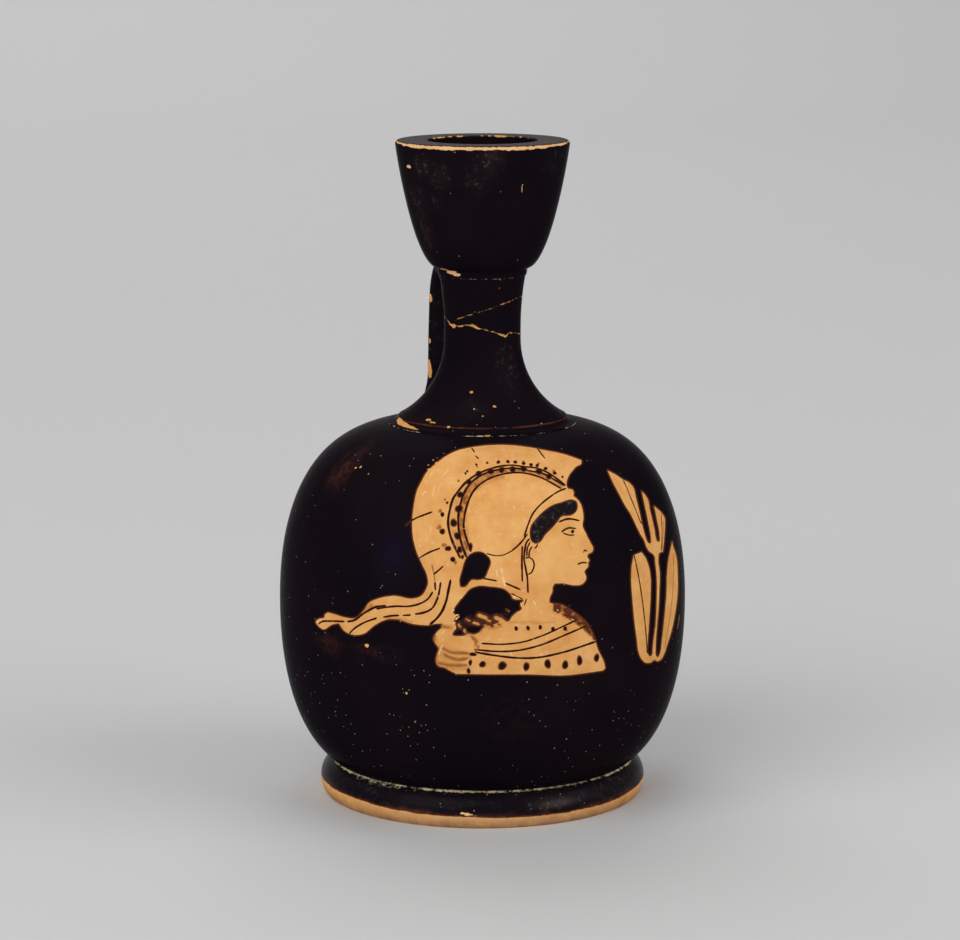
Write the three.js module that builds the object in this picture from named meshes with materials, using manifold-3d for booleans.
// A squat lekythos: a wheel-thrown oil flask of fired clay, mended after its neck had broken.
// The potter threw the foot, the body, the neck and the mouth one by one and luted them together
// on flat seats, then pulled a strap handle and joined it to the neck and the shoulder.
// Sizes are in millimetres. +Z is up, the handle is at +Y, the painted side faces -Y, and the
// origin is the middle of the resting ring.
import * as THREE from "three";
import { mergeVertices } from "three/addons/utils/BufferGeometryUtils.js";
import Module from "manifold-3d";

const wasm = await Module();
wasm.setup();

const facets = 40; // flat faces round each thrown piece

// Foot: a disc with a swollen edge, hollowed underneath so that it rests on a ring.
const footHeight = 8.0;
const footBaseRadius = 36.5;
const footEdgeSwell = 1.85; // how far the edge bulges past the straight line from base to top
const restingRingWidth = 6.0;
const footHollowDepth = 3.6;
const footHollowSlope = 4.0; // how far in the hollow's side leans over its depth

// Body: an ovoid with a broad flat shoulder. The waist is where it stands on the foot.
const waistRadius = 34.5;
const bodyHeight = 77.8;
const bellyRadius = 46.6;
const bellyHeight = 37.0; // above the foot
const bellyRound = 2.14; // exponent of the curve away from the belly
const shoulderSquare = 4.1; // the higher, the squarer the shoulder
const waistSquare = 5.0;
const bodyWall = 3.8;
const floorThickness = 4.0;
const shoulderThickness = 3.4;

// Neck: a trumpet with a stepped base that covers the mouth of the body.
const neckBaseRadius = 21.4;
const neckBaseEdge = 0.35; // height of the moulding's thin outer edge
const neckStepRadius = 19.3;
const neckStepHeight = 1.8; // from the shoulder to the edge of the step
const neckLipRound = 0.5;
const throatRadius = 8.7;
const throatLow = 19.2; // where the throat begins and ends, above the shoulder
const throatHigh = 21.7;
const neckHeight = 33.7;
const neckTopRadius = 9.75;
const boreRadius = 5.7;
const neckBaseBore = 12.0; // the trumpet is hollow, and this wide where it meets the body

// Mouth: a deep cup on a low collar, with a flat ledge round the opening.
const collarRadius = 10.25;
const collarHeight = 1.7;
const mouthHeight = 28.8; // from the collar to the ledge
const rimRadius = 19.7;
const rimRound = 0.8;
const openingRadius = 12.4;
const openingRound = 0.4;
const mouthFloor = 4.0; // bottom of the cup above the neck
const wallEase = 1.1; // exponents of the mouth's outer wall
const wallSwell = 1.9;

// Handle: a strap with a flat oval section.
const strapWidth = 14.0;
const strapThickness = 4.8;
const strapSquare = 2.6;
const strapSpread = 0.14; // how much wider the strap is at its lower root
const strapSpreadHeight = 7; // over this height above the shoulder
const handleRoot = 30.4; // centre of the upper root, above the shoulder
const handleRise = 2.8; // the bend stands this much higher than the root
const handleReach = 25.2; // of the strap's middle line from the axis
const handleFootReach = 28.0;
const handleSink = 5.5; // how far the strap's ends run in before they are cut to the vase
const jointGap = 0.3; // clearance of the handle, and of the mended break

// Break: angles round the neck in degrees from +X, and heights above the shoulder. Two cracks leave
// one point at the left of the painted side, hold a wedge of the neck between them, and meet again
// at the back, from where one crack runs on to the first point.
const lowerCrack = [
  [-180, 24.3], [-171, 24.0], [-160, 23.1], [-140, 22.9], [-127, 23.3], [-116, 23.0], [-91, 21.9],
  [-80, 21.4], [-68, 20.7], [-59, 21.3], [-29, 20.4], [20, 21.2], [48, 22.6], [95, 23.4], [140, 22.9],
  [180, 24.3],
];
const upperCrack = [
  [-180, 24.3], [-171, 24.0], [-162, 23.3], [-151, 23.9], [-137, 24.8], [-118, 25.7], [-91, 27.0],
  [-68, 28.2], [-39, 29.1], [0, 28.4], [20, 26.4], [48, 22.6], [95, 23.4], [140, 22.9], [180, 24.3],
];

// Levels that the pieces share.
const shoulderLevel = footHeight + bodyHeight;
const collarLevel = shoulderLevel + neckHeight;
const wallLevel = collarLevel + collarHeight;
const ledgeLevel = wallLevel + mouthHeight;
const bellyLevel = footHeight + bellyHeight;

const point = (radius, height) => new THREE.Vector2(radius, height);

// An arc from one profile point to another that stands out from the chord by swell, away from the axis.
function bulge(from, to, swell, steps) {
  const chord = to.clone().sub(from);
  const half = chord.length() / 2;
  const radius = (half ** 2 + swell ** 2) / (2 * swell);
  const out = point(chord.y, -chord.x).normalize();
  const centre = from.clone().add(to).multiplyScalar(0.5).addScaledVector(out, swell - radius);
  const opening = Math.asin(half / radius);
  const turn = point(0, 0);
  return Array.from({ length: steps + 1 }, (_, i) => {
    const angle = opening * ((2 * i) / steps - 1);
    turn.copy(out).rotateAround(point(0, 0), angle);
    return centre.clone().addScaledVector(turn, radius);
  });
}

// A quarter circle that rounds the corner from one profile point to another about a centre.
function corner(centre, radius, startAngle, endAngle, steps) {
  return Array.from({ length: steps + 1 }, (_, i) => {
    const angle = THREE.MathUtils.degToRad(startAngle + ((endAngle - startAngle) * i) / steps);
    return point(centre.x + radius * Math.cos(angle), centre.y + radius * Math.sin(angle));
  });
}

// A hollow arc that leaves the throat upright and spreads outwards to its end.
function flare(throat, end, steps) {
  const spread = end.x - throat.x;
  const drop = Math.abs(end.y - throat.y);
  const radius = (spread ** 2 + drop ** 2) / (2 * spread);
  const total = Math.asin(drop / radius);
  const side = Math.sign(end.y - throat.y);
  return Array.from({ length: steps + 1 }, (_, i) => {
    const angle = (total * i) / steps;
    return point(
      throat.x + radius * (1 - Math.cos(angle)),
      throat.y + side * radius * Math.sin(angle),
    );
  });
}

// One half of the body's curve, from the belly to its end: radius = belly (1 - t^round)^(1/square),
// with t rising from 0 at the belly so that the curve passes through the end.
function ovoid(belly, end, round, square, steps) {
  const last = (1 - (end.x / belly.x) ** square) ** (1 / round);
  const reach = (end.y - belly.y) / last;
  return Array.from({ length: steps + 1 }, (_, i) => {
    const t = last * Math.sin((Math.PI / 2) * (i / steps));
    return point(belly.x * (1 - t ** round) ** (1 / square), belly.y + reach * t);
  });
}

// The mouth's outer wall: flat under the cup, then steeper and almost straight up to the rim.
function cupWall(from, to, steps) {
  return Array.from({ length: steps + 1 }, (_, i) => {
    const share = (i / steps) ** 2;
    const spread = (1 - (1 - share) ** wallEase) ** (1 / wallSwell);
    return point(
      THREE.MathUtils.lerp(from.x, to.x, spread),
      THREE.MathUtils.lerp(from.y, to.y, share),
    );
  });
}

// A quarter of an ellipse that leaves its start upright and arrives at its end level.
function quarterEllipse(start, end, steps) {
  return Array.from({ length: steps + 1 }, (_, i) => {
    const angle = (Math.PI / 2) * (i / steps);
    return point(
      end.x + (start.x - end.x) * Math.cos(angle),
      start.y - (start.y - end.y) * Math.sin(angle),
    );
  });
}

// Turns a profile round the Z axis. Points run up the outside and down the inside.
function thrown(profile) {
  const geometry = new THREE.LatheGeometry(profile, facets);
  return geometry.rotateX(Math.PI / 2);
}

function solidOf(geometry) {
  const bare = geometry.index ? geometry.clone() : mergeVertices(geometry);
  bare.deleteAttribute("normal");
  bare.deleteAttribute("uv");
  const merged = mergeVertices(bare, 1e-3);
  return new wasm.Manifold(
    new wasm.Mesh({
      numProp: 3,
      vertProperties: new Float32Array(merged.attributes.position.array),
      triVerts: new Uint32Array(merged.index.array),
    }),
  );
}

function geometryOf(solid) {
  const mesh = solid.getMesh();
  const geometry = new THREE.BufferGeometry();
  geometry.setAttribute("position", new THREE.BufferAttribute(mesh.vertProperties, mesh.numProp));
  geometry.setIndex(new THREE.BufferAttribute(mesh.triVerts, 1));
  geometry.computeVertexNormals();
  return geometry;
}

function makeFoot() {
  const hollowRadius = footBaseRadius - restingRingWidth;
  return thrown([
    point(0, footHollowDepth),
    point(hollowRadius - footHollowSlope, footHollowDepth),
    point(hollowRadius, 0),
    ...bulge(point(footBaseRadius, 0), point(waistRadius, footHeight), footEdgeSwell, 6),
    point(0, footHeight),
  ]);
}

const bodyOutside = [
  ...ovoid(
    point(bellyRadius, bellyLevel), point(waistRadius, footHeight), bellyRound, waistSquare, 7,
  ).reverse(),
  ...ovoid(
    point(bellyRadius, bellyLevel), point(neckBaseRadius, shoulderLevel), bellyRound, shoulderSquare, 8,
  ).slice(1),
];

function makeBody() {
  const innerBelly = point(bellyRadius - bodyWall, bellyLevel);
  const floor = point(0, footHeight + floorThickness);
  const underShoulder = point(neckBaseBore, shoulderLevel - shoulderThickness);
  return thrown([
    point(0, footHeight),
    ...bodyOutside,
    point(neckBaseBore, shoulderLevel),
    ...ovoid(innerBelly, underShoulder, bellyRound, shoulderSquare, 5).reverse(),
    ...ovoid(innerBelly, floor, bellyRound, waistSquare, 5).slice(1),
  ]);
}

const neckOutside = [
  point(neckBaseRadius, shoulderLevel),
  ...quarterEllipse(
    point(neckStepRadius, shoulderLevel + neckStepHeight - neckLipRound),
    point(neckBaseRadius, shoulderLevel + neckBaseEdge), 3,
  ).reverse(),
  ...corner(
    point(neckStepRadius - neckLipRound, shoulderLevel + neckStepHeight - neckLipRound),
    neckLipRound, 0, 75, 2,
  ).slice(1),
  ...flare(
    point(throatRadius, shoulderLevel + throatLow),
    point(neckStepRadius - neckLipRound, shoulderLevel + neckStepHeight + 0.1), 8,
  ).reverse(),
  ...flare(
    point(throatRadius, shoulderLevel + throatHigh), point(neckTopRadius, collarLevel), 5,
  ),
];

function makeWholeNeck() {
  return thrown([
    ...neckOutside,
    point(boreRadius, collarLevel),
    ...flare(
      point(boreRadius, shoulderLevel + throatLow), point(neckBaseBore, shoulderLevel), 5,
    ),
    neckOutside[0].clone(),
  ]);
}

function makeMouth() {
  const bore = point(boreRadius, collarLevel);
  return thrown([
    bore,
    point(collarRadius, collarLevel),
    ...cupWall(point(collarRadius, wallLevel), point(rimRadius, ledgeLevel - rimRound), 8),
    ...corner(point(rimRadius - rimRound, ledgeLevel - rimRound), rimRound, 0, 90, 3).slice(1),
    ...corner(
      point(openingRadius + openingRound, ledgeLevel - openingRound), openingRound, 90, 180, 2,
    ),
    ...quarterEllipse(
      point(openingRadius, ledgeLevel - openingRound), point(boreRadius, collarLevel + mouthFloor), 6,
    ).slice(1),
    bore.clone(),
  ]);
}

// Height of a crack at an angle, on straight lines between its points.
function crackHeight(crack, degrees) {
  const next = Math.max(1, crack.findIndex(([angle]) => angle >= degrees));
  const [fromAngle, fromHeight] = crack[next - 1];
  const [toAngle, toHeight] = crack[next];
  const share = (degrees - fromAngle) / (toAngle - fromAngle);
  return shoulderLevel + THREE.MathUtils.lerp(fromHeight, toHeight, share);
}

// Everything on one side of a crack, as a ring that is wider than the neck's wall.
function besideCrack(crack, shift, above) {
  const inner = boreRadius / 2;
  const outer = 2 * neckBaseRadius;
  const far = above ? collarLevel + neckHeight : shoulderLevel - neckHeight;
  const middle = shoulderLevel + throatHigh;
  const [low, high] = above ? [middle, far] : [far, middle];
  const ring = new THREE.LatheGeometry(
    [point(inner, low), point(outer, low), point(outer, high), point(inner, high), point(inner, low)],
    2 * facets,
  ).rotateX(Math.PI / 2);
  const position = ring.attributes.position;
  for (let i = 0; i < position.count; i++) {
    if (Math.abs(position.getZ(i) - middle) > jointGap) continue;
    const turn = THREE.MathUtils.radToDeg(Math.atan2(position.getY(i), position.getX(i)));
    position.setZ(i, crackHeight(crack, turn) + shift);
  }
  return solidOf(ring);
}

function makeSherds() {
  const neck = solidOf(makeWholeNeck());
  const half = jointGap / 2;
  return {
    lower: neck.intersect(besideCrack(lowerCrack, -half, false)),
    wedge: neck
      .subtract(besideCrack(lowerCrack, half, false))
      .subtract(besideCrack(upperCrack, -half, true)),
    upper: neck.intersect(besideCrack(upperCrack, half, true)),
  };
}

// What the strap is cut back from: the neck and the body, filled in and grown by the joint's gap.
function grown(outside) {
  const skin = outside.map((p) => point(p.x + jointGap, p.y + jointGap));
  return solidOf(thrown([point(0, skin[0].y), ...skin, point(0, skin.at(-1).y)]));
}

function strapSection() {
  const corners = 16;
  const shape = new THREE.Shape();
  for (let i = 0; i < corners; i++) {
    const angle = (2 * Math.PI * i) / corners;
    const across = Math.sign(Math.cos(angle)) * Math.abs(Math.cos(angle)) ** (2 / strapSquare);
    const deep = Math.sign(Math.sin(angle)) * Math.abs(Math.sin(angle)) ** (2 / strapSquare);
    shape[i ? "lineTo" : "moveTo"]((across * strapWidth) / 2, (deep * strapThickness) / 2);
  }
  shape.closePath();
  return shape;
}

function makeHandle() {
  const root = shoulderLevel + handleRoot;
  const bend = root + handleRise;
  const path = new THREE.CatmullRomCurve3([
    new THREE.Vector3(0, neckTopRadius - handleSink, root - handleRise),
    new THREE.Vector3(0, neckTopRadius + strapThickness / 2, root + handleRise / 3),
    new THREE.Vector3(0, THREE.MathUtils.lerp(neckTopRadius, handleReach, 0.62), bend),
    new THREE.Vector3(0, handleReach - strapThickness / 2, bend - strapThickness * 0.7),
    new THREE.Vector3(0, handleReach, shoulderLevel + handleRoot * 0.68),
    new THREE.Vector3(0, THREE.MathUtils.lerp(handleReach, handleFootReach, 0.35), shoulderLevel + handleRoot * 0.34),
    new THREE.Vector3(0, handleFootReach, shoulderLevel - handleSink - strapThickness / 2),
  ]);
  const strap = new THREE.ExtrudeGeometry(strapSection(), { steps: 26, extrudePath: path });
  const position = strap.attributes.position;
  for (let i = 0; i < position.count; i++) {
    const height = position.getZ(i) - shoulderLevel;
    const share = 1 - THREE.MathUtils.smoothstep(height, 0, strapSpreadHeight);
    position.setX(i, position.getX(i) * (1 + strapSpread * share));
  }
  return solidOf(strap).subtract(grown(neckOutside)).subtract(grown(bodyOutside));
}

const blackGloss = { color: 0x17141a, roughness: 0.32, metalness: 0 };

function piece(name, geometry) {
  const mesh = new THREE.Mesh(geometry, new THREE.MeshStandardMaterial(blackGloss));
  mesh.name = name;
  return mesh;
}

const sherds = makeSherds();
const lekythos = new THREE.Group();
lekythos.add(
  piece("foot", makeFoot()),
  piece("body", makeBody()),
  piece("neck_lower", geometryOf(sherds.lower)),
  piece("neck_sherd", geometryOf(sherds.wedge)),
  piece("neck_upper", geometryOf(sherds.upper)),
  piece("mouth", makeMouth()),
  piece("handle", geometryOf(makeHandle())),
);

export default lekythos;
